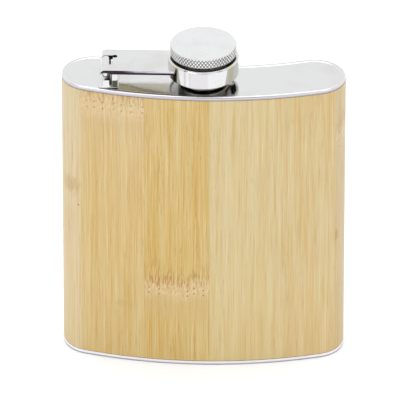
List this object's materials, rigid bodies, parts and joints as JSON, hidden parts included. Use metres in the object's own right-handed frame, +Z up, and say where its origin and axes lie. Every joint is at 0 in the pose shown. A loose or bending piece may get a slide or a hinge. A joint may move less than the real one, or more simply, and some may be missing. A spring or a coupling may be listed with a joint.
{
  "type": "hip flask",
  "caption": "Curved steel hip flask wrapped in bamboo strips, with a knurled screw cap held captive on a hinged arm.",
  "frame": {"origin": "centre of the footprint, on the surface that the flask stands on", "axes": "+Z up out of the neck, +X to the right along the width, +Y towards the hollow face; the convex face is towards -Y"},
  "size_m": [0.095, 0.0266, 0.1198],
  "materials": {
    "polished_steel": "mirror polished stainless steel",
    "brushed_steel": "drawn stainless sheet",
    "knurled_steel": "satin top with a knurled edge",
    "bamboo": "sanded bamboo with a thin clear matt coat",
    "gasket": "off-white silicone"
  },
  "bodies": {
    "flask": {"body_sleeve": "brushed_steel", "top_plate": "polished_steel", "base_plate": "polished_steel", "neck_spout": "polished_steel", "bamboo_strip_01": "bamboo", "bamboo_strip_02": "bamboo", "bamboo_strip_03": "bamboo", "bamboo_strip_04": "bamboo", "bamboo_strip_05": "bamboo", "bamboo_strip_06": "bamboo", "bamboo_strip_07": "bamboo", "bamboo_strip_08": "bamboo", "bamboo_strip_09": "bamboo", "bamboo_strip_10": "bamboo", "hinge_bracket": "polished_steel", "hinge_pin": "brushed_steel"},
    "arm": {"arm_plate": "polished_steel", "arm_collar": "polished_steel"},
    "cap_carrier": {"retaining_clip": "brushed_steel"},
    "cap": {"cap_head": "knurled_steel", "cap_barrel": "polished_steel", "cap_gasket": "gasket"}
  },
  "joints": [
    {"name": "arm_swing", "type": "hinge", "parent": "flask", "child": "arm", "pos_m": [-0.0325, -0.00144, 0.11105], "axis": [0, -1, 0], "range_deg": [0, 180]},
    {"name": "cap_lift", "type": "slide", "parent": "arm", "child": "cap_carrier", "axis": [0, 0, 1], "range_m": [0, 0.00375]},
    {"name": "cap_spin", "type": "hinge", "parent": "cap_carrier", "child": "cap", "pos_m": [0, -0.00144, 0.118], "axis": [0, 0, 1], "range_deg": [0, 900]}
  ],
  "couplings": [
    {"joint": "cap_lift", "follows": "cap_spin", "m_per_rad": 0.0002387}
  ]
}
